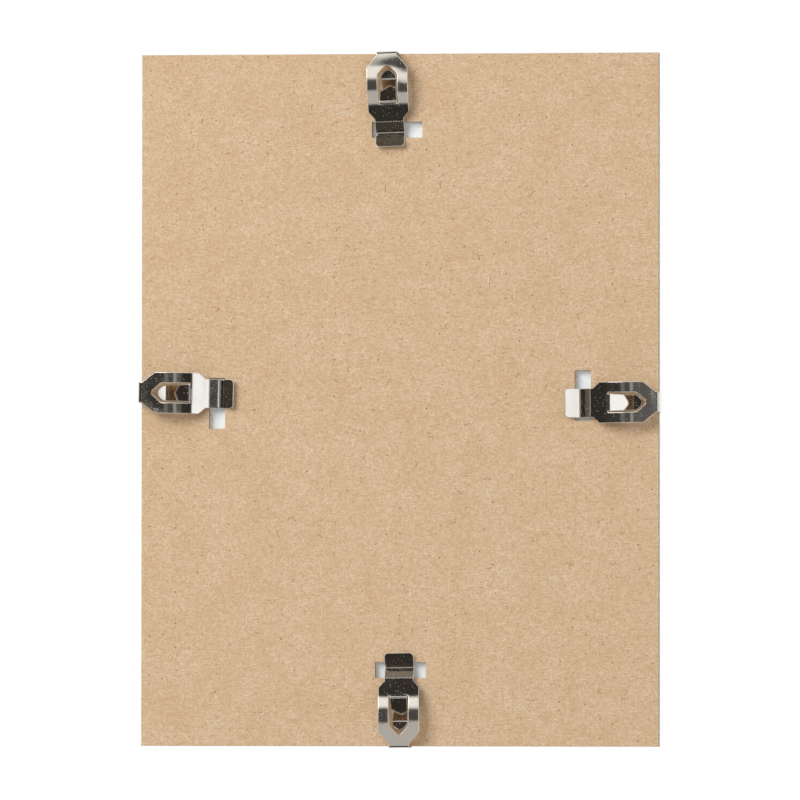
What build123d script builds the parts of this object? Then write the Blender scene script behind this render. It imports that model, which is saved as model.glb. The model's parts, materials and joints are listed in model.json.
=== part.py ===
from build123d import *
from math import atan2, cos, degrees, radians, sin, tan
import os

# A frameless picture frame: a glass pane, a paper insert and a fibreboard back, held
# together by four spring clips, one over the middle of each edge.
# Millimetres. The frame stands upright as it hangs: +Z is up, the glass faces -Y and
# the back of the board faces +Y. Left and right are as seen from the back, so left is +X.

# Board, insert and glass
frame_width = 180.0
frame_height = 240.0
board_thickness = 3.0
insert_thickness = 0.25
glass_thickness = 2.0
glass_seam = 0.25

# Sheet metal of the clips, and the clearances that the clips are bent with
sheet = 0.4
contact_gap = 0.05
web_gap = 0.15
tab_gap = 0.2

# Side view of a clip: distances in from the board's edge, heights above the board's back
web_lift = 5.1
rise_angle = 6.5
crest_in = 13.5
crest_radius = 20.0
fall_angle = 25.0
heel_in = 23.6
foot_in = 27.3
tab_in = 32.45
tab_angle = 32.0
lip_length = 3.0
web_bend_radius = 0.9
lip_bend_radius = 0.6
heel_bend_radius = 0.8
foot_bend_radius = 0.8

# Outline of a clip, seen from the back
neck_width = 7.0
plate_width = 14.2
tail_width = 10.1
neck_in = 0.7
front_shoulder_in = 5.2
rear_shoulder_in = 20.3
tail_in = 22.6
shoulder_radius = 0.5
tab_corner_radius = 1.3
lip_corner_radius = 1.0

# Hanging hole in the plate, pointed towards the frame's edge
hole_width = 6.9
hole_tip_in = 4.1
hole_end_in = 17.5
hole_point_angle = 42.0
hole_tip_radius = 1.0
hole_cheek_radius = 2.0
hole_corner_radius = 0.4

# Spring tongue, pressed out of the hanging hole and down onto the board
tongue_root_in = 16.9
tongue_root_width = 6.3
tongue_touch_in = 8.8
tongue_touch_width = 5.3
tongue_tip_in = 5.8
tongue_tip_angle = 24.0
tongue_point_angle = 45.0
tongue_tip_radius = 1.2
tongue_bend_radius = 0.8

# Slots in the board that the clips' feet drop into
slot_in = 23.65
slot_width = 5.5
foot_side_play = 3.7
slot_corner_radius = 0.3

# One overrun for everything that is cut or cut out
overrun = 2.0

# Where each clip sits: the turn from the top edge, the slot's place along its edge, the
# foot's place in the slot as a share of the side play, and how far the clip sits askew
turn_angles = {"top": 0.0, "left": 90.0, "bottom": 180.0, "right": 270.0}
slot_offsets = {"top": 0.9, "left": 1.2, "bottom": 0.35, "right": 1.3}
side_play_shares = {"top": 0.67, "left": -0.89, "bottom": -0.09, "right": -0.7}
askew_angles = {"top": 1.8, "left": -1.0, "bottom": 0.75, "right": 0.5}

# Sizes that follow from the ones above
stack_thickness = board_thickness + insert_thickness + glass_thickness
slot_length = tail_width + 2 * foot_side_play
slot_far_in = slot_in + slot_width
slot_middle_in = slot_in + slot_width / 2
web_in = -(web_gap + sheet / 2)
lip_height = -(stack_thickness + contact_gap + sheet / 2)
crest_height = web_lift + crest_in * tan(radians(rise_angle))
heel_height = crest_height - (heel_in - crest_in) * tan(radians(fall_angle))
tab_over_slot = tab_gap + sheet / 2 / cos(radians(tab_angle))
foot_height = tab_over_slot - (slot_far_in - foot_in) * tan(radians(tab_angle))
tab_height = foot_height + (tab_in - foot_in) * tan(radians(tab_angle))

# Every clip is drawn for the top edge, from the middle of that edge on the board's back.
# In side view x runs in from the edge, which is down, and y is the height off the board.
side_view = Plane(origin=(0, 0, 0), x_dir=(0, 0, -1), z_dir=(1, 0, 0))
# Seen from the back, x runs in from the edge and y along it.
back_view = Plane(origin=(0, 0, 0), x_dir=(0, 0, -1), z_dir=(0, 1, 0))


def fall_line(distance_in):
    """Height of the middle of the sheet on the plate's falling rear stretch."""
    return crest_height - (distance_in - crest_in) * tan(radians(fall_angle))


def bent_strip(corners, radii, width):
    """A strip of sheet, bent along a side view with the given radii."""
    path = FilletPolyline(*corners, radius=radii)
    section = side_view * trace(path, line_width=sheet)
    return extrude(section, amount=width / 2, both=True)


def outline_block(corners, radii, low, high):
    """A block with an outline seen from the back, between two heights off the board."""
    outline = make_face(FilletPolyline(*corners, radius=radii, close=True))
    return extrude(back_view.offset(low) * outline, amount=high - low)


def pointed_corners(tip_in, tip_radius, point_angle, half_width):
    """Where a rounded point's two sides would meet, and where they reach full width."""
    sharp_in = tip_in - tip_radius * (1 / sin(radians(point_angle)) - 1)
    cheek_in = sharp_in + half_width / tan(radians(point_angle))
    return sharp_in, cheek_in


def plate_block():
    """The clip's outline from the web to the tab's end."""
    neck = neck_width / 2
    plate = plate_width / 2
    tail = tail_width / 2
    start = web_in - sheet
    corners = [
        (start, -neck),
        (neck_in, -neck),
        (front_shoulder_in, -plate),
        (rear_shoulder_in, -plate),
        (tail_in, -tail),
        (tab_in, -tail),
        (tab_in, tail),
        (tail_in, tail),
        (rear_shoulder_in, plate),
        (front_shoulder_in, plate),
        (neck_in, neck),
        (start, neck),
    ]
    shoulders = [shoulder_radius] * 4
    radii = [0] + shoulders + [tab_corner_radius] * 2 + shoulders + [0]
    return outline_block(corners, radii, -board_thickness, crest_height + overrun)


def lip_block():
    """The outline of the web's lower half and of the lip over the glass."""
    neck = neck_width / 2
    start = web_in - sheet
    corners = [(start, -neck), (lip_length, -neck), (lip_length, neck), (start, neck)]
    radii = [0, lip_corner_radius, lip_corner_radius, 0]
    return outline_block(corners, radii, lip_height - sheet, -board_thickness)


def hole_block():
    """The hanging hole: square at its inner end, pointed towards the edge."""
    half = hole_width / 2
    sharp_in, cheek_in = pointed_corners(hole_tip_in, hole_tip_radius, hole_point_angle, half)
    corners = [(sharp_in, 0), (cheek_in, half), (hole_end_in, half), (hole_end_in, -half), (cheek_in, -half)]
    radii = [hole_tip_radius, hole_cheek_radius, hole_corner_radius, hole_corner_radius, hole_cheek_radius]
    return outline_block(corners, radii, 0, crest_height + overrun)


def clip_body():
    """Tab, foot, plate, web and lip: one strip, bent and then trimmed to its outline."""
    corners = [
        (tab_in + overrun, tab_height + overrun * tan(radians(tab_angle))),
        (foot_in, foot_height),
        (heel_in, heel_height),
        (crest_in, crest_height),
        (web_in, web_lift),
        (web_in, lip_height),
        (lip_length + overrun, lip_height),
    ]
    radii = [foot_bend_radius, heel_bend_radius, crest_radius, web_bend_radius, lip_bend_radius]
    strip = bent_strip(corners, radii, plate_width + overrun)
    return (strip & plate_block()) + (strip & lip_block()) - hole_block()


def tongue():
    """The leaf spring: it leaves the hole's inner end, touches the board and turns up."""
    root = tongue_root_width / 2
    touch = tongue_touch_width / 2
    start_in = hole_end_in + sheet
    touch_height = contact_gap + sheet / 2
    tip_run = tongue_touch_in - tongue_tip_in + overrun
    tip_height = touch_height + tip_run * tan(radians(tongue_tip_angle))
    side = [
        (start_in, fall_line(start_in)),
        (tongue_root_in, fall_line(tongue_root_in)),
        (tongue_touch_in, touch_height),
        (tongue_touch_in - tip_run, tip_height),
    ]
    strip = bent_strip(side, [tongue_bend_radius, tongue_bend_radius], hole_width)
    sharp_in, cheek_in = pointed_corners(tongue_tip_in, tongue_tip_radius, tongue_point_angle, touch)
    corners = [
        (sharp_in, 0),
        (cheek_in, touch),
        (hole_end_in, root),
        (start_in + overrun, root),
        (start_in + overrun, -root),
        (hole_end_in, -root),
        (cheek_in, -touch),
    ]
    radii = [tongue_tip_radius, tongue_tip_radius, 0, 0, 0, 0, tongue_tip_radius]
    return strip & outline_block(corners, radii, 0, crest_height)


def edge_distance(side):
    """From the frame's middle to the edge that a clip sits on."""
    return (frame_height if side in ("top", "bottom") else frame_width) / 2


def clip_place(side):
    """Where a clip drawn for the top edge goes: its foot stays inside its slot."""
    askew = askew_angles[side]
    foot_offset = slot_offsets[side] + side_play_shares[side] * foot_side_play
    web_offset = foot_offset + slot_middle_in * sin(radians(askew))
    return Rot(0, turn_angles[side], 0) * Pos(web_offset, 0, edge_distance(side)) * Rot(0, askew, 0)


def slot(side):
    """The hole through the board for one clip's foot."""
    across = slot_length / 2
    corners = [(slot_in, -across), (slot_far_in, -across), (slot_far_in, across), (slot_in, across)]
    radii = [slot_corner_radius] * 4
    block = outline_block(corners, radii, -board_thickness - overrun, overrun)
    return Rot(0, turn_angles[side], 0) * Pos(slot_offsets[side], 0, edge_distance(side)) * block


def layer(thickness, top):
    """A flat rectangle of the frame's size whose back face is at a height off the board."""
    block = Box(frame_width, thickness, frame_height)
    return Pos(0, top - thickness / 2, 0) * block


def backing_board():
    """Fibreboard back with four slots."""
    board = layer(board_thickness, 0)
    for side in turn_angles:
        board -= slot(side)
    return board


def insert_sheet():
    """White paper insert between the board and the glass."""
    return layer(insert_thickness, -board_thickness)


def glass_pane():
    """Glass with its sharp edges ground off."""
    pane = layer(glass_thickness, -board_thickness - insert_thickness)
    return chamfer(pane.edges(), glass_seam)


clip = clip_body() + tongue()
pieces = {
    "backing_board": backing_board(),
    "insert_sheet": insert_sheet(),
    "glass_pane": glass_pane(),
}
for side in turn_angles:
    pieces["clip_" + side] = clip_place(side) * clip

# The origin is the middle of the whole frame's box.
whole = Compound(children=[Part(piece.wrapped) for piece in pieces.values()]).bounding_box()
to_middle = Pos(0, -(whole.min.Y + whole.max.Y) / 2, 0)

os.makedirs("parts", exist_ok=True)
for name, piece in pieces.items():
    export_step(to_middle * piece, "parts/" + name + ".step")

print("board's back face at y =", round(-(whole.min.Y + whole.max.Y) / 2, 4))
print("heel, foot and tab heights:", round(heel_height, 3), round(foot_height, 3), round(tab_height, 3))
print("foot slope:", round(degrees(atan2(heel_height - foot_height, foot_in - heel_in)), 2))
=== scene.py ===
# %% [markdown]
# A clip frame, seen from the back: a glass pane, a white insert and a fibreboard back, held
# together by four bright spring clips. There is hardly any form to look at, so the picture
# lives on two finishes: raw board, which is all fine fibres, and plated sheet metal, which
# shows nothing but what stands around it. This lesson builds both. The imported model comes
# first, because every piece has to sit where it says.

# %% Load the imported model
import bpy
import bmesh
import json
import math
import random
from mathutils import Matrix, Vector, noise


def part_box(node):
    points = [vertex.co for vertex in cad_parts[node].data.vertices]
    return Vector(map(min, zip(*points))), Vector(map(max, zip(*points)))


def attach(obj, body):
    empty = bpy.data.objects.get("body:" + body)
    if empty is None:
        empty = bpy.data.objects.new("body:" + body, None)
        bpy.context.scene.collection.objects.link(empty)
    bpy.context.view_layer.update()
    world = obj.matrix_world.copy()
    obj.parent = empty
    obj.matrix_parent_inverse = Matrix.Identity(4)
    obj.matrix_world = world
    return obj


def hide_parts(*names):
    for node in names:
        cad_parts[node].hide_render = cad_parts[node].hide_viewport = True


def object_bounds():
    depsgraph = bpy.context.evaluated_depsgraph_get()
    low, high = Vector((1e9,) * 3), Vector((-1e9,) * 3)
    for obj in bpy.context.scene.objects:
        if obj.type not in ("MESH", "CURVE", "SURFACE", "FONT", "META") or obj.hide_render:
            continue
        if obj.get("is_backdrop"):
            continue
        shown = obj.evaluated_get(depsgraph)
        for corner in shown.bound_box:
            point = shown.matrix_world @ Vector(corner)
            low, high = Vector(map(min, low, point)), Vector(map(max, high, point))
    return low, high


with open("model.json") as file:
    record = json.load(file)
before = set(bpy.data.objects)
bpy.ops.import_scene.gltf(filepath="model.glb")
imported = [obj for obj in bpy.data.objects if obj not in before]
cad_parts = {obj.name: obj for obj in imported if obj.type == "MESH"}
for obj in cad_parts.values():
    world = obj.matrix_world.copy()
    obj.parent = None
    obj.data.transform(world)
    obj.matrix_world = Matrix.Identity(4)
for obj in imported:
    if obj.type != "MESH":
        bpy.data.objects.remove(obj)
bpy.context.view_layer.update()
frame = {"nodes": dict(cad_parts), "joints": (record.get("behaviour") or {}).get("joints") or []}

mm = 0.001

# %% [markdown]
# Colours are written as they look on a screen, in hex, and one function turns them into the
# linear values that the renderer adds up light in. A second one adds a node to a material: its
# settings, then its sockets, each of which takes a plain value or another node.


# %% Helpers for colours and nodes
def linear(hex_colour):
    """The linear RGBA of an sRGB hex colour."""
    shares = [int(hex_colour[i:i + 2], 16) / 255 for i in (1, 3, 5)]
    return [s / 12.92 if s <= 0.04045 else ((s + 0.055) / 1.055) ** 2.4 for s in shares] + [1.0]


def add(tree, kind, sockets=None, **settings):
    """Adds a node. A socket is named, or numbered where names repeat, and takes a value or a node."""
    made = tree.nodes.new("ShaderNode" + kind)
    for name, value in settings.items():
        setattr(made, name, value)
    for name, value in (sockets or {}).items():
        named = [s for s in made.inputs if s.enabled and s.name == name]
        socket = made.inputs[name] if isinstance(name, int) else named[0]
        if isinstance(value, bpy.types.Node):
            value = next(output for output in value.outputs if output.enabled)
        if isinstance(value, bpy.types.NodeSocket):
            tree.links.new(value, socket)
        else:
            socket.default_value = value
    return made


def new_material(name):
    """An empty material, and its tree to add nodes to."""
    material = bpy.data.materials.new(name)
    material.use_nodes = True
    material.node_tree.nodes.clear()
    return material, material.node_tree


def surfaced(material, shader):
    """The material with a finished shader as its surface."""
    add(material.node_tree, "OutputMaterial", {"Surface": shader})
    return material


def new_object(name, mesh, *materials):
    """An object for a finished mesh, with its materials."""
    piece = bpy.data.objects.new(name, mesh)
    bpy.context.scene.collection.objects.link(piece)
    for material in materials:
        mesh.materials.append(material)
    return piece


def finished_mesh(name, built):
    """Turns what was built face by face into a mesh."""
    mesh = bpy.data.meshes.new(name)
    built.to_mesh(mesh)
    built.free()
    return mesh


# %% [markdown]
# The camera is a long lens from three metres away, as for a catalogue. It stands five degrees
# to the side of the frame and a little below its middle: that is what makes the board's right
# edge a few pixels taller than its left one.

# %% Camera
lens_mm = 400
camera_place = (-0.2904, 3.0632, -0.0893)
camera_degrees = (91.660, -0.051, 185.411)

camera = bpy.data.objects.new("camera", bpy.data.cameras.new("camera"))
bpy.context.scene.collection.objects.link(camera)
camera.data.lens = lens_mm
camera.location = camera_place
camera.rotation_euler = [math.radians(angle) for angle in camera_degrees]
bpy.context.scene.camera = camera
bpy.context.scene.view_settings.view_transform = "Standard"
print("camera distance:", round(camera.location.length, 3), "m")

# %% [markdown]
# The light is one large softbox from the upper left, which gives each clip a soft shadow to
# its lower right, and an even fill from all round. Each gives about half of the light, so a
# shadow is half as bright as the open board. The softbox is far enough away to light the whole
# board alike, and as wide as the blurred edges of those shadows need.

# %% Softbox and fill
softbox_way = Vector((0.56, 1.0, 0.51)).normalized()
softbox_distance = 2.4
softbox_width = 1.35
softbox_watts = 38
fill_strength = 0.5

softbox = bpy.data.objects.new("softbox", bpy.data.lights.new("softbox", "AREA"))
bpy.context.scene.collection.objects.link(softbox)
softbox.data.shape = "SQUARE"
softbox.data.size = softbox_width
softbox.data.energy = softbox_watts
softbox.location = softbox_way * softbox_distance
softbox.rotation_euler = softbox_way.to_track_quat("Z", "Y").to_euler()

world = bpy.data.worlds.new("studio")
bpy.context.scene.world = world
world.use_nodes = True
world.node_tree.nodes.clear()


def seen_directly(tree):
    """1 for a ray that shows a background: from the camera, off metal or through glass."""
    rays = add(tree, "LightPath").outputs
    either = add(tree, "Math", {0: rays["Is Camera Ray"], 1: rays["Is Glossy Ray"]}, operation="MAXIMUM")
    return add(tree, "Math", {0: either, 1: rays["Is Transmission Ray"]}, operation="MAXIMUM")


white_or_fill = add(world.node_tree, "MapRange", {
    "Value": seen_directly(world.node_tree), "To Min": fill_strength, "To Max": 1.0,
})
background = add(world.node_tree, "Background", {"Color": linear("#FFFFFF"), "Strength": white_or_fill})
add(world.node_tree, "OutputWorld", {"Surface": background})

# %% [markdown]
# A frame hangs, so the floor is well below it. It is pale and matt. What the camera sees of it
# is lifted to white by a little glow, and since that glow comes on top of the light that falls
# on it, a shadow still shows.

# %% Floor
floor_height = -2.0
floor_width = 60.0
floor_glow = 0.5

floor_material, tree = new_material("pale_matt_floor")
glow = add(tree, "Math", {0: seen_directly(tree), 1: floor_glow}, operation="MULTIPLY")
matt = add(tree, "BsdfDiffuse", {"Color": linear("#F2F2F0")})
lift = add(tree, "Emission", {"Strength": glow})
both = add(tree, "AddShader", {0: matt, 1: lift})
surfaced(floor_material, both)

outline = bmesh.new()
bmesh.ops.create_grid(outline, x_segments=1, y_segments=1, size=floor_width / 2)
floor = new_object("floor", finished_mesh("floor", outline), floor_material)
floor.location.z = floor_height
floor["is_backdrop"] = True

# %% [markdown]
# Bright plating has no colour of its own to speak of: it is a picture of the studio. So the
# studio needs things to mirror. As round a real table, a dark surround keeps the metal black,
# and white and grey cards in front of it draw the light bands. Every card is named for its
# place as the camera sees it, in degrees off the board's own normal. Cards and surround show in
# reflections alone, so they neither light the board nor hide it from another side.

# %% Cards and surround for the metal to mirror
surround_distance = 2.6
card_step = 0.05
floor_clearance = 0.05
lowest_card = -floor_height - floor_clearance
card_cells = 24
tiny = 1e-9


def card_mesh(name, middle, half, layer):
    """A curved sheet round the frame, with each point's degrees off the middle as its UV."""
    built = bmesh.new()
    degrees_off = built.loops.layers.uv.new("degrees_off")
    off, rows = {}, []
    for i in range(card_cells + 1):
        rows.append([])
        for j in range(card_cells + 1):
            corner = Vector((2 * i / card_cells - 1, 2 * j / card_cells - 1)) * half
            right, up = [math.radians(angle) for angle in middle + corner]
            reach = min(surround_distance, lowest_card / max(tiny, -math.sin(up)))
            way = Vector((-math.sin(right) * math.cos(up), math.cos(right) * math.cos(up), math.sin(up)))
            point = built.verts.new(way * (reach - layer * card_step))
            off[point] = corner
            rows[-1].append(point)
    for one, other in zip(rows, rows[1:]):
        for a, b, c, d in zip(one, one[1:], other[1:], other):
            for loop in built.faces.new((a, b, c, d)).loops:
                loop[degrees_off].uv = off[loop.vert]
    return finished_mesh(name, built)


def lit_card(name, half, radiance, soft_degrees, colour):
    """A glowing card that fades out along its border."""
    material, tree = new_material(name)
    off = add(tree, "SeparateXYZ", {"Vector": add(tree, "UVMap", uv_map="degrees_off")})
    inside = []
    for axis, size in (("X", half.x), ("Y", half.y)):
        away = add(tree, "Math", {0: off.outputs[axis]}, operation="ABSOLUTE")
        inside.append(add(tree, "Math", {0: size, 1: away}, operation="SUBTRACT"))
    border = add(tree, "Math", {0: inside[0], 1: inside[1]}, operation="MINIMUM")
    solid = add(tree, "MapRange", {"Value": border, "From Max": soft_degrees})
    glow = add(tree, "Emission", {"Color": linear(colour), "Strength": radiance})
    shown = add(tree, "MixShader", {0: solid, 1: add(tree, "BsdfTransparent"), 2: glow})
    return surfaced(material, shown)


def card(name, right_degrees, up_degrees, radiance, layer, soft_degrees=3.0, colour="#FFFFFF"):
    """A card between two angles to the right and two upwards; a higher layer is in front."""
    middle = Vector((sum(right_degrees), sum(up_degrees))) / 2
    border = Vector((soft_degrees, soft_degrees)) / 2
    half = Vector((right_degrees[1], up_degrees[1])) - middle + border
    material = lit_card(name, half, radiance, soft_degrees, colour)
    placed = new_object(name, card_mesh(name, middle, half, layer), material)
    for ray in ("camera", "diffuse", "transmission", "volume_scatter", "shadow"):
        setattr(placed, "visible_" + ray, False)
    placed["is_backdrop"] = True
    return placed


cards = [
    card("surround", (-105, 105), (-87, 87), 0.035, 0, colour="#FFF4E6"),
    card("dark_middle", (-18, 18), (-14, 20), 0.08, 1),
    card("upper_card", (-32, 28), (14.4, 37.4), 1.15, 2, soft_degrees=7.0),
    card("lower_card", (-32, 28), (-38.5, -10), 0.61, 2, soft_degrees=5.0),
    card("overhead_card", (-60, 60), (67.6, 86), 0.28, 1, soft_degrees=2.0, colour="#FFF1DC"),
    card("underneath_card", (-60, 60), (-86, -65.9), 0.085, 1, soft_degrees=2.0, colour="#FFF1DC"),
    card("near_right_card", (1, 7.5), (-8, 9), 0.42, 3, soft_degrees=4.0),
    card("next_right_card", (7.5, 17), (-8, 9), 0.13, 3),
    card("near_left_card", (-17, -10), (-8, 9), 0.2, 3, soft_degrees=5.0),
    card("far_right_card", (39, 62), (-40, 40), 1.5, 2, soft_degrees=2.0, colour="#F4F9FF"),
    card("edge_right_card", (74, 105), (-40, 40), 1.2, 2),
    card("far_left_card", (-90, -72), (-40, 40), 0.15, 2, colour="#FFF1DC"),
]
print("cards:", len(cards))

# %% [markdown]
# The back is medium-density fibreboard, about three millimetres thick: wood cooked to single
# fibres and pressed hot into a smooth sheet, then left raw. Close up it is a felt of pale and
# dark fibres with a few specks of bark. The fibres lie in every direction, so the pattern is
# mixed from long thin noise laid in several directions over a fine mottle, with sizes in real
# millimetres. A single fibre is a few hundredths of a millimetre wide, which is too fine to show
# here, so each is drawn as coarse as a bundle of them, a third of a millimetre wide.

# %% Fibres, specks and stains
mottle_mm = 0.56
cloud_mm = 2.4
blotch_mm = 14.0
fibre_width_mm = 0.34
fibre_length_mm = 3.4
fibre_turns = (12, 49, 83, 121, 158)
fibre_range = (0.66, 0.84)
bark_spacing_mm, bark_mm = 4.6, 0.36
crumb_spacing_mm, crumb_mm = 1.5, 0.24
speck_rim_share = 0.04


def per_metre(size_mm):
    """Noise scale whose features are about this large."""
    return 1 / (size_mm * mm)


def laid_fibres(tree, place, turn):
    """Long thin noise in the board's plane, turned by some degrees."""
    along, across = per_metre(fibre_length_mm), per_metre(fibre_width_mm)
    turned = add(tree, "Mapping", {
        "Vector": place, "Rotation": (0, math.radians(turn), 0), "Scale": (along, across, across),
    })
    return add(tree, "TexNoise", {"Vector": turned, "Scale": 1.0, "Detail": 1.5, "Distortion": 0.6})


def crossed_fibres(tree, place, first_turn):
    """1 on fibres that lie in several directions, 0 between them."""
    most = laid_fibres(tree, place, first_turn + fibre_turns[0])
    for turn in fibre_turns[1:]:
        layer = laid_fibres(tree, place, first_turn + turn)
        most = add(tree, "Math", {0: most, 1: layer}, operation="MAXIMUM")
    return add(tree, "MapRange", {"Value": most, "From Min": fibre_range[0], "From Max": fibre_range[1]})


def specks(tree, plane, spacing, radius, rarity, ragged):
    """1 inside specks scattered over a plane, 0 outside; rarity is the share of cells without one."""
    cells = add(tree, "TexVoronoi", {"Vector": plane, "Scale": 1 / spacing}, voronoi_dimensions="2D")
    torn = add(tree, "TexNoise", {"Vector": plane, "Scale": 1 / radius}, noise_dimensions="2D")
    shift = add(tree, "MapRange", {"Value": torn, "To Min": -ragged, "To Max": ragged})
    distance = add(tree, "Math", {0: cells.outputs["Distance"], 1: shift}, operation="ADD")
    chance = add(tree, "SeparateColor", {"Color": cells.outputs["Color"]})
    reach = add(tree, "MapRange", {
        "Value": chance.outputs["Red"], "From Min": rarity, "To Max": radius / spacing,
    })
    inside = add(tree, "Math", {0: reach, 1: distance}, operation="SUBTRACT")
    return add(tree, "MapRange", {"Value": inside, "From Max": speck_rim_share})


def stained(tree, under, share, strength, hex_colour):
    """A colour laid over another where a pattern is strong."""
    amount = add(tree, "Math", {0: share, 1: strength}, operation="MULTIPLY")
    return add(tree, "Mix", {"Factor": amount, "A": under, "B": linear(hex_colour)}, data_type="RGBA")


print("fibres across a centimetre:", round(10 / fibre_width_mm))

# %% [markdown]
# The board's colour is laid on in layers, as a painter glazes: a mottled felt, thicker and warmer
# patches, then crossed fibres, crumbs and bark. The sawn edge comes last. It shows the middle of
# the board, which is browner than its pressed skin, and it is told apart by the way the surface
# points. What draws a pale fibre also raises it a little, so that the light finds it.


# %% Raw fibreboard
def raw_fibreboard():
    """Pressed and sawn fibreboard, without any coating."""
    material, tree = new_material("raw_fibreboard")
    place = add(tree, "TexCoord").outputs["Object"]
    plane = add(tree, "Mapping", {"Vector": place, "Rotation": (math.pi / 2, 0, 0)})
    mottle = add(tree, "TexNoise", {
        "Vector": place, "Scale": per_metre(mottle_mm), "Detail": 2.0, "Roughness": 0.6,
    })
    cloud = add(tree, "TexNoise", {"Vector": place, "Scale": per_metre(cloud_mm), "Detail": 2.0})
    blotch = add(tree, "TexNoise", {"Vector": place, "Scale": per_metre(blotch_mm), "Detail": 3.0})
    tone = add(tree, "MapRange", {"Value": mottle, "From Min": 0.3, "From Max": 0.7})
    thick = add(tree, "MapRange", {"Value": cloud, "From Min": 0.35, "From Max": 0.65})
    warm = add(tree, "MapRange", {"Value": blotch, "From Min": 0.35, "From Max": 0.65})
    light = crossed_fibres(tree, place, 0)
    dark = crossed_fibres(tree, place, 90)
    bark = specks(tree, plane, bark_spacing_mm * mm, bark_mm * mm, rarity=0.35, ragged=0.02)
    crumb = specks(tree, plane, crumb_spacing_mm * mm, crumb_mm * mm, rarity=0.4, ragged=0.07)
    normal = add(tree, "SeparateXYZ", {"Vector": add(tree, "NewGeometry").outputs["Normal"]})
    upright = add(tree, "Math", {0: normal.outputs["Y"]}, operation="ABSOLUTE")
    sawn = add(tree, "MapRange", {"Value": upright, "From Min": 0.6, "From Max": 0.2})

    felt = add(tree, "Mix", {
        "Factor": tone, "A": linear("#CBA881"), "B": linear("#E5CEB0"),
    }, data_type="RGBA")
    for pattern, strength, hex_colour in (
        (thick, 0.32, "#C7A279"), (warm, 0.28, "#CBA277"), (dark, 0.85, "#A87D52"),
        (light, 0.75, "#F0E2CC"), (crumb, 0.55, "#A87448"), (bark, 0.9, "#7E5A3E"),
        (sawn, 0.5, "#A9865E"),
    ):
        felt = stained(tree, felt, pattern, strength, hex_colour)

    relief = add(tree, "Math", {0: mottle, 1: light}, operation="ADD")
    bump = add(tree, "Bump", {"Height": relief, "Strength": 0.5, "Distance": 0.03 * mm})
    shader = add(tree, "BsdfPrincipled", {
        "Base Color": felt, "Roughness": 0.82, "IOR": 1.5, "Specular IOR Level": 0.25, "Normal": bump,
    })
    return surfaced(material, shader)


fibreboard = raw_fibreboard()
print("fibreboard nodes:", len(fibreboard.node_tree.nodes))

# %% [markdown]
# Outlines come next, and one function makes nearly all of them: a line of corners, each rounded
# to its own radius. The slots, the clips' outline and even the side view that the clips are bent
# to are such lines; the board's outline is left as its four plain corners.


# %% Rounded outlines
def rounded(corners, radii, closed=False, degrees=4.0):
    """The points of a line of corners with an arc of the given radius at each one."""
    count = len(corners)
    radii = list(radii) if closed else [0.0, *radii, 0.0]
    points = []
    for i in range(count):
        here = Vector(corners[i])
        if radii[i] == 0:
            points.append(here)
            continue
        before = (Vector(corners[i - 1]) - here).normalized()
        after = (Vector(corners[(i + 1) % count]) - here).normalized()
        opening = before.angle(after)
        turn = math.pi - opening
        centre = here + (before + after).normalized() * radii[i] / math.sin(opening / 2)
        start = here + before * radii[i] / math.tan(opening / 2) - centre
        way = 1 if before.x * after.y - before.y * after.x < 0 else -1
        steps = max(2, math.ceil(math.degrees(turn) / degrees))
        for k in range(steps + 1):
            points.append(centre + Matrix.Rotation(way * turn * k / steps, 2) @ start)
    return points


def evenly(points, spacing, closed=True):
    """The same line with points at most that far apart."""
    ends = points[1:] + points[:1] if closed else points[1:]
    line = []
    for a, b in zip(points, ends):
        steps = max(1, math.ceil((b - a).length / spacing))
        line += [a.lerp(b, k / steps) for k in range(steps)]
    return line if closed else line + [points[-1]]


# %% [markdown]
# The board is sawn, and its slots are punched, so no edge is quite clean: fibres tear out and
# leave the line a few hundredths of a millimetre ragged, with a soft corner along it. Bevelling
# a plain slab would leave that line dead straight. Here each edge is a ring of points, stepped
# over the soft corner and shifted by a little noise, and only the flat faces are filled in.

# %% Board with four punched slots
board_low, board_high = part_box("backing_board")
back_face = board_high.y
slot_in = 23.65 * mm
slot_width = 5.5 * mm
slot_length = 17.5 * mm
slot_corner = 0.3 * mm
slot_offsets = {"top": 0.9 * mm, "left": 1.2 * mm, "bottom": 0.35 * mm, "right": 1.3 * mm}
side_turns = {"top": 0, "left": 90, "bottom": 180, "right": 270}
soft_corner = 0.16 * mm
corner_middle_share = 0.29
raggedness = 0.07 * mm
tear_mm, tear_squash = 0.9, 0.6
sawn_step, punched_step = 1.0 * mm, 0.3 * mm


def slot_outline(side):
    """A slot's outline in the board's plane, as x and z."""
    edge = board_high.z if side in ("top", "bottom") else board_high.x
    middle = slot_offsets[side]
    near, far = edge - slot_in, edge - slot_in - slot_width
    half = slot_length / 2
    corners = [(middle - half, near), (middle + half, near), (middle + half, far), (middle - half, far)]
    turn = Matrix.Rotation(-math.radians(side_turns[side]), 2)
    return [turn @ point for point in rounded(corners, [slot_corner] * 4, closed=True, degrees=15)]


def edge_rings(points, into_board, spacing):
    """The ring at each step over an edge's soft corner, from one face to the other."""
    line = evenly(points, spacing)
    steps = [(1.0, 0.0), (corner_middle_share, corner_middle_share), (0.0, 1.0)]
    back = [(inset * soft_corner, board_high.y - drop * soft_corner) for inset, drop in steps]
    front = [(inset * soft_corner, board_low.y + drop * soft_corner) for inset, drop in reversed(steps)]
    rings = []
    for inset, y in back + front:
        ring = []
        for i, point in enumerate(line):
            along = (line[(i + 1) % len(line)] - line[i - 1]).normalized()
            away = Vector((along.y, -along.x)) * into_board
            spot = Vector((point.x, y * tear_squash, point.y)) * per_metre(tear_mm)
            tear = (noise.noise(spot) + 1) / 2 * raggedness
            moved = point + away * (inset + tear)
            ring.append((moved.x, y, moved.y))
        rings.append(ring)
    return rings


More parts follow.
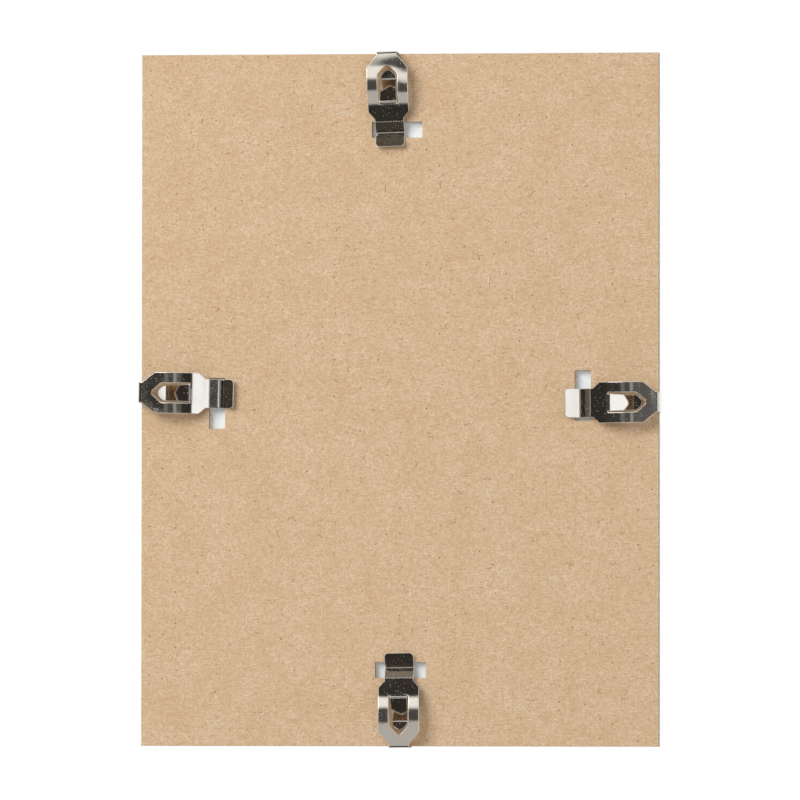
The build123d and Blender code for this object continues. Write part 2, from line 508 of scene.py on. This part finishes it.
def board_mesh():
    """A slab with a ring of faces round its edge and round each slot."""
    built = bmesh.new()
    low_x, low_z, high_x, high_z = board_low.x, board_low.z, board_high.x, board_high.z
    corners = [(low_x, low_z), (low_x, high_z), (high_x, high_z), (high_x, low_z)]
    outlines = [([Vector(corner) for corner in corners], 1, sawn_step)]
    outlines += [(slot_outline(side), -1, punched_step) for side in side_turns]
    rims = {"back": [], "front": []}
    for points, into_board, spacing in outlines:
        rings = [[built.verts.new(co) for co in ring] for ring in edge_rings(points, into_board, spacing)]
        for one, other in zip(rings, rings[1:]):
            for i in range(len(one)):
                face = built.faces.new((one[i - 1], one[i], other[i], other[i - 1]))
                face.smooth = True
        for rim, ring in (("back", rings[0]), ("front", rings[-1])):
            rims[rim] += [built.edges.get((ring[i - 1], ring[i])) for i in range(len(ring))]
    for rim in rims.values():
        bmesh.ops.triangle_fill(built, edges=rim, use_beauty=True)
    bmesh.ops.recalc_face_normals(built, faces=built.faces)
    return finished_mesh("fibreboard_back", built)


board = new_object("fibreboard_back", board_mesh(), fibreboard)
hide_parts("backing_board")
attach(board, "frame")
print("board faces:", len(board.data.polygons))

# %% [markdown]
# Raw board sheds. Pale fibres stand out of its felt here and there, shorter dark ones have
# curled up on it, and the punch has left torn ends along two of the slots. Each is a thin tube
# that turns a little at every step, drawn as thick as a small bundle, since a single fibre is too
# fine to show.

# %% One fibre and its wood
fibre_steps = 9
fibre_sides = 5
end_share, belly_share = 0.35, 0.65
belly_from_share, belly_run_share = 0.15, 0.7
raised_share = 0.6
fibre_tone_mm = 0.8


def add_fibre(built, start, way_degrees, length, curl_degrees, radius, sink=0.0):
    """A tapered tube on the board's back, curling evenly; sink is how far its end hangs down."""
    spot, heading = Vector((start[0], 0, start[1])), math.radians(way_degrees)
    rings = []
    for i in range(fibre_steps + 1):
        share = i / fibre_steps
        belly = math.sin(math.pi * (belly_from_share + belly_run_share * share))
        thickness = radius * (end_share + belly_share * belly)
        spot.y = back_face + radius * raised_share - sink * share
        side = Vector((-math.sin(heading), 0, math.cos(heading)))
        ring = []
        for k in range(fibre_sides):
            angle = 2 * math.pi * k / fibre_sides
            outward = side * math.cos(angle) + Vector((0, math.sin(angle), 0))
            ring.append(built.verts.new(spot + outward * thickness))
        rings.append(ring)
        spot = spot + Vector((math.cos(heading), 0, math.sin(heading))) * length / fibre_steps
        heading += math.radians(curl_degrees) / fibre_steps
    for one, other in zip(rings, rings[1:]):
        for k in range(fibre_sides):
            built.faces.new((one[k - 1], one[k], other[k], other[k - 1])).smooth = True
    built.faces.new(rings[0])
    built.faces.new(rings[-1])


def wood_fibre(name, darker, lighter):
    """A single wood fibre: matt, with its tone changing along it."""
    material, tree = new_material(name)
    place = add(tree, "TexCoord").outputs["Object"]
    change = add(tree, "TexNoise", {"Vector": place, "Scale": per_metre(fibre_tone_mm), "Detail": 2.0})
    share = add(tree, "MapRange", {"Value": change, "From Min": 0.35, "From Max": 0.65})
    tone = add(tree, "Mix", {"Factor": share, "A": linear(darker), "B": linear(lighter)}, data_type="RGBA")
    bump = add(tree, "Bump", {"Height": change, "Strength": 0.4, "Distance": 0.02 * mm})
    shader = add(tree, "BsdfPrincipled", {
        "Base Color": tone, "Roughness": 0.75, "IOR": 1.5, "Specular IOR Level": 0.3, "Normal": bump,
    })
    return surfaced(material, shader)


def fibre_piece(name, built, material):
    """Turns finished fibres into a piece that belongs to the board."""
    bmesh.ops.recalc_face_normals(built, faces=built.faces)
    piece = new_object(name, finished_mesh(name, built), material)
    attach(piece, "frame")
    print(name, "faces:", len(piece.data.polygons))


# %% [markdown]
# Where the loose fibres lie is left to chance, but to a seeded one, so that every run gives the
# same board. They keep clear of the ground that the clips swing over. The torn ends are given one
# by one, because a punch tears where it is blunt and not evenly.

# %% Loose and torn fibres
fibre_seed = 11
clip_ground = (36 * mm, 12 * mm)
clear_rim = 8 * mm


def on_clip_ground(x, z):
    """Whether a spot lies where a clip covers the board, or close to the board's edge."""
    reach, half = clip_ground
    from_side, from_end = board_high.x - abs(x), board_high.z - abs(z)
    beside = (from_side < reach and abs(z) < half) or (from_end < reach and abs(x) < half)
    return beside or abs(x) > board_high.x - clear_rim or abs(z) > board_high.z - clear_rim


def scatter(built, chance, count, lengths_mm, most_curl, radii_mm):
    """Adds fibres at seeded random places on the open board."""
    placed = 0
    while placed < count:
        x, z = chance.uniform(board_low.x, board_high.x), chance.uniform(board_low.z, board_high.z)
        if on_clip_ground(x, z):
            continue
        add_fibre(built, (x, z), chance.uniform(0, 360), chance.uniform(*lengths_mm) * mm,
                  chance.uniform(-most_curl, most_curl), chance.uniform(*radii_mm) * mm)
        placed += 1


chance = random.Random(fibre_seed)
pale, dark = bmesh.new(), bmesh.new()
scatter(pale, chance, count=120, lengths_mm=(1.2, 7.5), most_curl=100, radii_mm=(0.05, 0.16))
scatter(dark, chance, count=170, lengths_mm=(0.8, 3.4), most_curl=200, radii_mm=(0.045, 0.09))
fibre_piece("pale_fibres", pale, wood_fibre("pale_wood_fibre", "#E9D6B8", "#F8EEDC"))

# Torn ends, in millimetres and degrees: the slot's edge, the root's place off it and along it,
# and the fibre's way, length, curl, radius and sink
left_slot, right_slot = board_high.x - slot_in, board_low.x + slot_in + slot_width
torn_ends = [
    (left_slot, 0.1, -4.0, 236, 4.2, 34, 0.1, 0.5),
    (left_slot, 0.1, -2.6, 262, 2.6, 18, 0.07, 0.3),
    (right_slot, 0.15, 8.6, 205, 1.3, 30, 0.09, 0.2),
    (right_slot, 0.15, 8.0, 172, 1.7, 30, 0.09, 0.2),
    (right_slot, 0.15, 7.5, 190, 0.9, 30, 0.09, 0.2),
    (right_slot, 0.15, 6.6, 160, 0.8, 30, 0.09, 0.2),
]
for edge, off, along, way, length, curl, radius, sink in torn_ends:
    start = (edge + off * mm, along * mm)
    add_fibre(dark, start, way, length * mm, curl, radius * mm, sink=sink * mm)
fibre_piece("torn_fibres", dark, wood_fibre("torn_wood_fibre", "#8F6743", "#C79A6B"))

# %% [markdown]
# Behind the board lies a sheet of plain white paper, the back of whatever the frame shows. Only
# the slots let it be seen. It is given a faint cool glow of its own, painted light that lifts it
# above what the lamps give it down in the slots; in part it stands for the real glow of an optical
# brightener, which turns unseen ultraviolet into a little cool light. It is a hair thinner here
# than the space for it, so that it never shares a face with the glass.

# %% White paper insert
paper_grain_mm = 0.35
paper_play, paper_margin = 0.01 * mm, 0.2 * mm
paper_cells = 12
painted_paper_glow = 0.095


def smooth_paper():
    """Wood-free white paper: matt, with a faint cloudy grain and a painted cool glow that lifts it."""
    material, tree = new_material("smooth_white_paper")
    place = add(tree, "TexCoord").outputs["Object"]
    grain = add(tree, "TexNoise", {"Vector": place, "Scale": per_metre(paper_grain_mm), "Detail": 3.0})
    cloud = add(tree, "MapRange", {"Value": grain, "From Min": 0.3, "From Max": 0.7})
    tint = add(tree, "Mix", {
        "Factor": cloud, "A": linear("#EBF6F9"), "B": linear("#F3FBFD"),
    }, data_type="RGBA")
    bump = add(tree, "Bump", {"Height": grain, "Strength": 0.3, "Distance": 0.01 * mm})
    # The emission is painted light: a faint cool glow that brightens the paper beyond what the lamps give
    # it.
    shader = add(tree, "BsdfPrincipled", {
        "Base Color": tint, "Roughness": 0.7, "IOR": 1.5, "Specular IOR Level": 0.3, "Normal": bump,
        "Emission Color": linear("#F2F8FF"), "Emission Strength": painted_paper_glow,
    })
    return surfaced(material, shader)


def sheet_mesh(name, low, high, cells):
    """A thin closed sheet, finely divided, with both faces and its cut edge."""
    built = bmesh.new()
    bmesh.ops.create_cube(built, size=1.0)
    middle, size = (low + high) / 2, high - low
    bmesh.ops.scale(built, vec=size, verts=built.verts)
    bmesh.ops.translate(built, vec=middle, verts=built.verts)
    long_edges = [e for e in built.edges if abs(e.verts[0].co.y - e.verts[1].co.y) < size.y / 2]
    bmesh.ops.subdivide_edges(built, edges=long_edges, cuts=cells, use_grid_fill=True)
    return finished_mesh(name, built)


paper_low, paper_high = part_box("insert_sheet")
play = Vector((paper_margin, paper_play, paper_margin))
paper_mesh = sheet_mesh("white_insert", paper_low + play, paper_high - play, paper_cells)
insert = new_object("white_insert", paper_mesh, smooth_paper())
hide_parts("insert_sheet")
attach(insert, "frame")
print("insert thickness in mm:", round(insert.dimensions.y / mm, 3))

# %% [markdown]
# The pane is two millimetres of float glass. Its faces are polished by the making, its edges
# are ground so that nobody is cut, and a ground edge scatters light and shows the glass's green.
# Its grit is drawn a few times coarser than real, or it would be too fine to show. The packed
# pane already has that shape, so it stays, and one material tells face from edge by the way the
# surface points.

# %% Float glass with ground edges
grit_mm = 0.15


def float_glass():
    """Clear on its two faces, frosted and greener on its ground edge."""
    material, tree = new_material("float_glass")
    place = add(tree, "TexCoord").outputs["Object"]
    grit = add(tree, "TexNoise", {"Vector": place, "Scale": per_metre(grit_mm), "Detail": 2.0})
    normal = add(tree, "SeparateXYZ", {"Vector": add(tree, "NewGeometry").outputs["True Normal"]})
    facing = add(tree, "Math", {0: normal.outputs["Y"]}, operation="ABSOLUTE")
    ground = add(tree, "MapRange", {"Value": facing, "From Min": 0.95, "From Max": 0.9})
    frost = add(tree, "MapRange", {"Value": grit, "To Min": 0.4, "To Max": 0.7})
    rough = add(tree, "Math", {0: ground, 1: frost}, operation="MULTIPLY")
    tint = add(tree, "Mix", {
        "Factor": ground, "A": linear("#FDFFFE"), "B": linear("#D6EFE3"),
    }, data_type="RGBA")
    height = add(tree, "Math", {0: ground, 1: grit}, operation="MULTIPLY")
    bump = add(tree, "Bump", {"Height": height, "Strength": 0.4, "Distance": 0.02 * mm})
    clear = add(tree, "MapRange", {"Value": ground, "To Min": 1.0, "To Max": 0.55})
    shader = add(tree, "BsdfPrincipled", {
        "Base Color": tint, "Roughness": rough, "IOR": 1.52, "Transmission Weight": clear, "Normal": bump,
    })
    return surfaced(material, shader)


pane = frame["nodes"]["glass_pane"]
pane.data.materials.clear()
pane.data.materials.append(float_glass())
print("pane:", pane.name, "in", pane.data.materials[0].name)

# %% [markdown]
# A clip is one strip. In side view it starts at the tab, drops into the slot at the foot, climbs
# the flank to the heel, follows the long low arch of the plate to the frame's edge, and turns
# down the web to the lip that holds the glass. The tongue is pressed out of the plate and runs
# down onto the board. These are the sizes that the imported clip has, but for the tongue's tip,
# which the barrel has worn rounder. Both the finish and the form need them: a size that ends in
# _in is a distance in from the frame's edge, and neck, plate, tail, hole and tongue_touch are half
# widths.

# %% The clip's sizes, in millimetres
sheet = 0.4
web_in, web_lift = -0.35, 5.1
rise_degrees, fall_degrees, tab_degrees = 6.5, 25.0, 32.0
crest_in, crest_radius = 13.5, 20.0
crest_height = web_lift + crest_in * math.tan(math.radians(rise_degrees))
heel_in, foot_in, foot_height, tab_in = 23.6, 27.3, -0.7203, 32.45
lip_length, lip_height = 3.0, -5.5
bend_radii = {"foot": 0.8, "heel": 0.8, "web": 0.9, "lip": 0.6, "tongue": 0.8}

neck, plate, tail = 3.5, 7.1, 5.05
neck_in, front_shoulder_in, rear_shoulder_in, tail_in = 0.7, 5.2, 20.3, 22.6
shoulder_radius, tab_corner, lip_corner = 0.5, 1.3, 1.0

hole, hole_tip_in, hole_end_in, hole_point_degrees = 3.45, 4.1, 17.5, 42.0
hole_tip_radius, hole_cheek_radius, hole_corner = 1.0, 2.0, 0.4

tongue_root_in, tongue_touch_in, tongue_tip_in = 16.9, 8.8, 5.8
tongue_touch, tongue_touch_height = 2.65, 0.25
tongue_rise_degrees, tongue_point_degrees, tongue_tip_radius = 24.0, 45.0, 2.2


def fall_line(distance_in):
    """Height of the plate's falling rear stretch."""
    return crest_height - (distance_in - crest_in) * math.tan(math.radians(fall_degrees))


print("plate's crest and heel above the board:", round(crest_height, 2), round(fall_line(heel_in), 2))

# %% [markdown]
# The clips are spring steel, stamped from rolled strip, bent, and barrel-plated with bright
# nickel. That gives a warm grey mirror with a slight haze. Rolling leaves faint lines along the
# strip, and handling leaves dust, which is what speckles the black reflections. Both are drawn a
# few times coarser than real, because they are too fine to show at this distance. The two sharp
# bends at the tail are different: the heel is nicked by the tool that bent it, and the foot is
# made dull, with its colour painted darker as shade in the crease at the bottom of the slot.
# Nickel's own colour does the rest: two or three bounces between its bends turn grey to olive.

# %% Bright nickel plate
rolling_line_mm, rolling_length_mm = 0.12, 6.0
grain_mm, haze_mm = 0.4, 3.0
rolling_share, grain_share = 0.1, 0.2
dust_spacing_mm, dust_mm, dust_cover = 0.95, 0.12, 0.55
heel_half_mm, foot_half_mm = 0.2, 0.6
nick_mm = 0.9
foot_roughness = 0.35


def bright_nickel():
    """Barrel-plated nickel on rolled spring steel, with dust, dull at the foot, and painted shade darkening
    the foot's crease.
    """
    material, tree = new_material("bright_nickel_plate")
    place = add(tree, "TexCoord").outputs["Object"]
    strip = add(tree, "UVMap", uv_map="strip").outputs["UV"]
    lines = add(tree, "Mapping", {
        "Vector": strip, "Scale": (1 / rolling_line_mm, 1 / rolling_length_mm, 1.0),
    })
    rolled = add(tree, "TexNoise", {"Vector": lines, "Scale": 1.0, "Detail": 2.0})
    grain = add(tree, "TexNoise", {"Vector": place, "Scale": per_metre(grain_mm), "Detail": 3.0})
    haze = add(tree, "TexNoise", {
        "Vector": place, "Scale": per_metre(haze_mm), "Detail": 4.0, "Roughness": 0.6,
    })
    rough = add(tree, "MapRange", {
        "Value": haze, "From Min": 0.3, "From Max": 0.7, "To Min": 0.07, "To Max": 0.11,
    })
    dust = specks(tree, strip, dust_spacing_mm, dust_mm, rarity=0.3, ragged=0.01)
    dust = add(tree, "Math", {0: dust, 1: dust_cover}, operation="MULTIPLY")

    along = add(tree, "SeparateXYZ", {"Vector": strip})
    bends = []
    for bend_in, half_mm in ((heel_in, heel_half_mm), (foot_in, foot_half_mm)):
        past = add(tree, "Math", {0: along.outputs["Y"], 1: bend_in}, operation="SUBTRACT")
        off = add(tree, "Math", {0: past}, operation="ABSOLUTE")
        bends.append(add(tree, "MapRange", {"Value": off, "From Min": half_mm, "From Max": half_mm / 3}))
    turns = add(tree, "Math", {0: along.outputs["X"], 1: 2 * math.pi / nick_mm}, operation="MULTIPLY")
    wave = add(tree, "Math", {0: turns}, operation="SINE")
    nicks = add(tree, "MapRange", {"Value": wave, "From Min": -1.0, "To Min": 0.08, "To Max": 0.55})
    scuffed = add(tree, "Math", {0: bends[0], 1: nicks}, operation="MULTIPLY")
    matt = add(tree, "Math", {0: dust, 1: scuffed}, operation="MAXIMUM")
    metal = add(tree, "Math", {0: 1.0, 1: matt}, operation="SUBTRACT")
    tint = add(tree, "Mix", {
        "Factor": matt, "A": linear("#D6CFC4"), "B": linear("#DCD6CA"),
    }, data_type="RGBA")
    # Painted shade: the foot's colour is made darker, as shade in the crease at the bottom of the slot.
    tint = stained(tree, tint, bends[1], strength=0.9, hex_colour="#736E65")
    crazed = add(tree, "Math", {0: bends[1], 1: foot_roughness}, operation="MULTIPLY")
    dull = add(tree, "Math", {0: matt, 1: crazed}, operation="MAXIMUM")
    rough = add(tree, "Math", {0: rough, 1: dull}, operation="MAXIMUM")

    rolled = add(tree, "Math", {0: rolled, 1: rolling_share}, operation="MULTIPLY")
    grain = add(tree, "Math", {0: grain, 1: grain_share}, operation="MULTIPLY")
    relief = add(tree, "Math", {0: rolled, 1: grain}, operation="ADD")
    bump = add(tree, "Bump", {"Height": relief, "Strength": 1.0, "Distance": 0.0035 * mm})
    shader = add(tree, "BsdfPrincipled", {
        "Base Color": tint, "Metallic": metal, "Roughness": rough, "Normal": bump,
    })
    return surfaced(material, shader)


nickel = bright_nickel()
print("nickel nodes:", len(nickel.node_tree.nodes))

# %% [markdown]
# The cut edge of a clip is another finish. The punch tears the sheet there, the barrel rounds what
# it tore, and the plating covers it all unevenly, so the edge scatters light where the flat
# mirrors it. It gets a material of its own, and the edges' roll will be given to it.

# %% Sheared edge
tear_grain_mm = 0.3


def sheared_edge():
    """Plated steel torn by the punch and rounded in the barrel."""
    material, tree = new_material("sheared_nickel_edge")
    place = add(tree, "TexCoord").outputs["Object"]
    tear = add(tree, "TexNoise", {"Vector": place, "Scale": per_metre(tear_grain_mm), "Detail": 2.0})
    rough = add(tree, "MapRange", {
        "Value": tear, "From Min": 0.3, "From Max": 0.7, "To Min": 0.45, "To Max": 0.75,
    })
    bump = add(tree, "Bump", {"Height": tear, "Strength": 0.5, "Distance": 0.02 * mm})
    shader = add(tree, "BsdfPrincipled", {
        "Base Color": linear("#EAE5DC"), "Metallic": 0.6, "Roughness": rough, "Normal": bump,
    })
    return surfaced(material, shader)


cut_edge = sheared_edge()
print("cut edge nodes:", len(cut_edge.node_tree.nodes))

# %% [markdown]
# The side view is followed in steps that are short where the strip bends and longer where it is
# straight. A mirror shows every flat, so the arch gets a step for about each degree of turn. Each
# step becomes a row of points across the strip.

# %% Rows along the strip
line_step = 0.1


def walk(points, longest, most_degrees):
    """Distances along a line at which a row is needed, and the line's own distances."""
    reached = [0.0]
    for a, b in zip(points, points[1:]):
        reached.append(reached[-1] + (b - a).length)
    rows, last, turned = [0.0], 0.0, 0.0
    for i in range(1, len(points) - 1):
        before, after = points[i] - points[i - 1], points[i + 1] - points[i]
        turned += math.degrees(before.angle(after)) if before.length * after.length > 0 else 0.0
        if turned >= most_degrees or reached[i] - last >= longest:
            rows.append(reached[i])
            last, turned = reached[i], 0.0
    return rows + [reached[-1]], reached


def between(value, known, results):
    """Straight-line reading of a table whose known values rise."""
    for i in range(1, len(known)):
        if value <= known[i]:
            step = known[i] - known[i - 1]
            share = (value - known[i - 1]) / step if step > 0 else 1.0
            return results[i - 1] + (results[i] - results[i - 1]) * min(1.0, max(0.0, share))
    return results[-1]


tab_slope = math.tan(math.radians(tab_degrees))
tab_end_in = tab_in - sheet / 2 * math.sin(math.atan(tab_slope))
side_corners = [
    (tab_end_in, foot_height + (tab_end_in - foot_in) * tab_slope),
    (foot_in, foot_height),
    (heel_in, fall_line(heel_in)),
    (crest_in, crest_height),
    (web_in, web_lift),
    (web_in, lip_height),
    (lip_length, lip_height),
]
side_radii = [bend_radii["foot"], bend_radii["heel"], crest_radius, bend_radii["web"], bend_radii["lip"]]
side_line = evenly(rounded(side_corners, side_radii, degrees=0.25), line_step, closed=False)
strip_length = sum((after - before).length for before, after in zip(side_line, side_line[1:]))
print("strip length in mm:", round(strip_length, 2))

# %% [markdown]
# Across the strip, each row needs three widths: the outer edge, the hanging hole and the
# tongue. They come from the same kind of rounded outline as the board's slots, drawn for half
# the strip and read off at the row's distance from the frame's edge.

# %% Widths across the strip
axis_gap = 1e-3
tip_gap = 0.02


def half_outline(corners, radii, tip_in=None):
    """An outline's upper half as two lists: distances in, which rise, and half widths."""
    line = [p for p in rounded(corners, radii, degrees=6.0) if p.y > axis_gap]
    if tip_in is not None:
        line = [Vector((tip_in, 0.0))] + line
    return [p.x for p in line], [p.y for p in line]


def point_of(tip_in, tip_radius, point_degrees, half):
    """Where a rounded point's sides would meet, and where they reach full width."""
    slope = math.radians(point_degrees)
    sharp_in = tip_in - tip_radius * (1 / math.sin(slope) - 1)
    return sharp_in, sharp_in + half / math.tan(slope)


outer_in, outer_half = half_outline(
    [(web_in, neck), (neck_in, neck), (front_shoulder_in, plate), (rear_shoulder_in, plate),
     (tail_in, tail), (tab_end_in, tail), (tab_end_in, 0)],
    [shoulder_radius] * 4 + [tab_corner],
)
sharp_in, cheek_in = point_of(hole_tip_in, hole_tip_radius, hole_point_degrees, hole)
hole_in, hole_half = half_outline(
    [(cheek_in, -hole), (sharp_in, 0), (cheek_in, hole), (hole_end_in, hole), (hole_end_in, 0)],
    [hole_tip_radius, hole_cheek_radius, hole_corner], hole_tip_in,
)
root = hole - hole_corner
sharp_in, cheek_in = point_of(tongue_tip_in, tongue_tip_radius, tongue_point_degrees, tongue_touch)
tongue_in, tongue_half = half_outline(
    [(cheek_in, -tongue_touch), (sharp_in, 0), (cheek_in, tongue_touch), (hole_end_in, root)],
    [tongue_tip_radius, tongue_tip_radius], tongue_tip_in,
)
lip_in, lip_half = half_outline([(web_in, neck), (lip_length, neck), (lip_length, 0)], [lip_corner])
tongue_lift = (tongue_touch_in - tongue_tip_in) * math.tan(math.radians(tongue_rise_degrees))
tongue_side = [
    (hole_end_in, fall_line(hole_end_in)),
    (tongue_root_in, fall_line(tongue_root_in)),
    (tongue_touch_in, tongue_touch_height),
    (tongue_tip_in + tip_gap, tongue_touch_height + tongue_lift),
]
tongue_bends = [bend_radii["tongue"]] * 2
tongue_line = evenly(rounded(tongue_side, tongue_bends, degrees=1.0), line_step, closed=False)
print("hole from", round(hole_in[0], 2), "to", round(hole_in[-1], 2), "tongue from", round(tongue_in[0], 2))

# %% [markdown]
# The strip is built as the middle of the sheet and thickened afterwards. Each row has a rail of
# points on either side. Where there is no hole the rails meet in the middle; the hole opens at
# its tip by parting them, and behind its square end a middle field joins them again.

# %% Rows with their widths
edge_strip = 0.2
row_tolerance = 0.02
strip_step, strip_degrees = 0.5, 1.2
lip_from_share = 0.5


def rows_of(line, longest, most_degrees, needed):
    """Rows along a line as (x, y, share of the way), with more where an outline needs them."""
    rows, reached = walk(line, longest, most_degrees)
    turning = next((i for i in range(1, len(line)) if line[i].x > line[i - 1].x), len(line))
    inward = [-point.x for point in line[:turning]]
    rows += [between(-distance_in, inward, reached) for distance_in in needed]
    rows += [edge_strip, reached[-1] - edge_strip]
    kept = []
    for row in sorted(rows):
        if not kept or row - kept[-1] > row_tolerance:
            kept.append(row)
    xs, ys = [point.x for point in line], [point.y for point in line]
    return [(between(row, reached, xs), between(row, reached, ys), row / reached[-1]) for row in kept]


def clip_rows():
    """The main strip's rows: distance in, height, outer and inner half width, and middle field."""
    made = []
    for x, y, share in rows_of(side_line, strip_step, strip_degrees, hole_in + outer_in):
        lip = y < 0 and share > lip_from_share
        behind_hole = x > hole_end_in - row_tolerance
        outer = between(x, lip_in, lip_half) if lip else between(x, outer_in, outer_half)
        inner = 0.0
        if behind_hole:
            inner = root
        elif x > hole_tip_in + row_tolerance and not lip:
            inner = between(x, hole_in, hole_half)
        made.append((x, y, outer, inner, behind_hole))
    return made


print("rows of the strip:", len(clip_rows()))

# %% [markdown]
# The rows become points, and the points faces. The tongue starts from the row at the hole's end,
# so the metal runs on into it, as it does on the stamping. No pressed sheet is truly flat, so each
# clip gets its own faint unevenness, and a few shallow dents where the photographed clip shows
# one. Each point also keeps its place as seen from the back, across and in from the edge, as its
# UV in millimetres, which is what the nickel's lines, dust and bends are laid out by.

# %% One clip's sheet, in millimetres
rail_steps = 8
widest_strip_share = 0.2
unevenness, unevenness_mm = 0.06, 4.5
uneven_from_in, uneven_to_in, uneven_fade = 0.5, 23.0, 2.0
tongue_step, tongue_degrees = 0.4, 4.0
square_width, least_roll, roll_gain = 0.15, 0.02, 1.2


def uneven(across, distance_in, seed, dents):
    """What a pressed plate is off its true height at a point: always a little low."""
    calm = min(1.0, max(0.0, distance_in - uneven_from_in) / uneven_fade)
    calm *= min(1.0, max(0.0, uneven_to_in - distance_in) / uneven_fade)
    wave = noise.noise(Vector((across / unevenness_mm, distance_in / unevenness_mm, seed)))
    height = (wave - 1) / 2 * unevenness
    for dent_across, dent_in, radius_across, radius_in, depth in dents:
        gap = math.hypot((across - dent_across) / radius_across, (distance_in - dent_in) / radius_in)
        height -= depth * math.exp(-gap * gap / 2)
    return height * calm


def shares_of(width):
    """Places over a width, with a narrow step at each cut edge that keeps the rest flat."""
    narrow = min(widest_strip_share, edge_strip / width)
    return [0.0, *[narrow + (1 - 2 * narrow) * k / rail_steps for k in range(rail_steps + 1)], 1.0]


def mark_cut_edges(built, rolled, flat):
    """Sets how far each cut edge rolls: fully along the strip and at a square end, else less."""
    for edge in built.edges:
        if edge.is_boundary:
            (across, near), (other, far) = (flat[end] for end in edge.verts)
            run, wide = abs(far - near), abs(other - across)
            square = run == 0 and wide > square_width
            slanted = roll_gain * run / math.hypot(run, wide, tiny)
            edge[rolled] = 1.0 if square else min(1.0, max(least_roll, slanted))


def sheet_of_clip(seed, dents):
    """The middle of a clip's sheet, with its tongue, as one open surface."""
    built = bmesh.new()
    strip = built.loops.layers.uv.new("strip")
    rolled = built.edges.layers.float.new("bevel_weight_edge")
    flat = {}

    def point(across, x, y, dented=dents):
        sag = uneven(across, x, seed, dented) if y > 0 else 0.0
        made = built.verts.new((across, y + sag, -x))
        flat[made] = (across, x)
        return made

    def fill(one, other):
        for a, b, c, d in zip(one, one[1:], other[1:], other):
            if len({a, b, c, d}) == 4:
                built.faces.new((a, b, c, d))
            elif len({a, b, c, d}) == 3:
                built.faces.new(list(dict.fromkeys((a, b, c, d))))

    before, end_row = None, None
    for x, y, outer, inner, behind_hole in clip_rows():
        places = [inner + (outer - inner) * share for share in shares_of(outer - inner)]
        right = [point(across, x, y) for across in places]
        left = [right[0] if inner == 0 else point(-inner, x, y)]
        left += [point(-across, x, y) for across in places[1:]]
        field = []
        if behind_hole:
            inside = [point(inner * (2 * share - 1), x, y) for share in shares_of(2 * inner)[1:-1]]
            field = [left[0], *inside, right[0]]
            end_row = field
        if before:
            fill(before[0], right)
            fill(before[1], left)
            fill(before[2], field)
        before = (right, left, field)
    last = end_row
    for x, y, _ in rows_of(tongue_line, tongue_step, tongue_degrees, tongue_in)[1:]:
        half = between(x, tongue_in, tongue_half)
        row = [point(half * (2 * share - 1), x, y, []) for share in shares_of(2 * half)]
        fill(last, row)
        last = row
    mark_cut_edges(built, rolled, flat)
    for face in built.faces:
        face.smooth = True
        for loop in face.loops:
            loop[strip].uv = flat[loop.vert]
    bmesh.ops.recalc_face_normals(built, faces=built.faces)
    return finished_mesh("clip_sheet", built)


# %% [markdown]
# Thickness and edges are modifiers: the sheet is made 0.4 mm thick, and its stamped edge gets
# the small roll that a punch leaves. That roll is what catches the light as a bright line all
# round each clip. Both are worked out while the clip is still in millimetres, so that nothing
# is lost to rounding, and then it is scaled and set in place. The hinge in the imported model
# gives the place: it lies at the lip's end on the glass, along the clip's width.

# %% Thickness, edges and place
edge_roll = 0.15
cut_edge_index = 1
first_seed, seed_step = 3.7, 11.3

# Dents: place across and in, radius across and in, depth
clip_dents = {
    "top": [(1.0, 5.0, 5.0, 1.5, 0.17), (-6.5, 8.2, 3.2, 2.9, 0.46)],
    "left": [(4.6, 5.4, 1.6, 1.5, 0.1)],
    "bottom": [(-5.2, 10.4, 2.0, 1.9, 0.12)],
    "right": [(0, 7.2, 7.0, 0.7, 0.03), (2.5, 4.5, 1.6, 2.4, 0.06)],
}


def thickened(side, seed):
    """A clip's sheet with its thickness and its rolled edges, still in millimetres."""
    draft = new_object("draft_" + side, sheet_of_clip(seed, clip_dents[side]), nickel, cut_edge)
    thick = draft.modifiers.new("sheet_thickness", "SOLIDIFY")
    thick.thickness = sheet
    thick.offset = 0
    thick.use_even_offset = True
    thick.material_offset_rim = cut_edge_index
    roll = draft.modifiers.new("edge_roll", "BEVEL")
    roll.width = edge_roll
    roll.segments = 2
    roll.limit_method = "WEIGHT"
    roll.material = cut_edge_index
    roll.use_clamp_overlap = False
    seen = draft.evaluated_get(bpy.context.evaluated_depsgraph_get())
    mesh = bpy.data.meshes.new_from_object(seen)
    bpy.data.objects.remove(draft)
    return mesh


def packed_place(side):
    """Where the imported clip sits, read from its hinge at the lip's end."""
    joint = next(j for j in frame["joints"] if j["name"] == side + "_clip_swing")
    across, up = Vector(joint["axis"]), Vector((0, 1, 0))
    outward = across.cross(up)
    turn = Matrix((across, up, outward)).transposed().to_4x4()
    grip = Vector((0, lip_height + sheet / 2, -lip_length))
    return Matrix.Translation(joint["pos_m"]) @ turn @ Matrix.Scale(mm, 4) @ Matrix.Translation(-grip)


def spring_clip(side, seed):
    """A finished clip on the frame, on its own body."""
    mesh = thickened(side, seed)
    mesh.transform(packed_place(side))
    clip = new_object("spring_clip_" + side, mesh)
    clip.modifiers.new("even_shading", "WEIGHTED_NORMAL")
    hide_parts("clip_" + side)
    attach(clip, "clip_" + side)
    return clip


for number, side in enumerate(side_turns):
    clip = spring_clip(side, first_seed + seed_step * number)
    low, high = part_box("clip_" + side)
    ends = [clip.matrix_world @ Vector(corner) for corner in clip.bound_box]
    off = [round((min(e[i] for e in ends) - low[i]) / mm, 3) for i in range(3)]
    off += [round((max(e[i] for e in ends) - high[i]) / mm, 3) for i in range(3)]
    print(clip.name, "faces:", len(clip.data.polygons), "off the packed clip's box, in mm:", off)

# %% [markdown]
# Last, the size of the finished object's box is printed, in millimetres. Nothing that was
# built here may make the frame bigger than it is.

# %% Size and finish
low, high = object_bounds()
print("visual box in mm:", [round(side / mm, 2) for side in high - low])
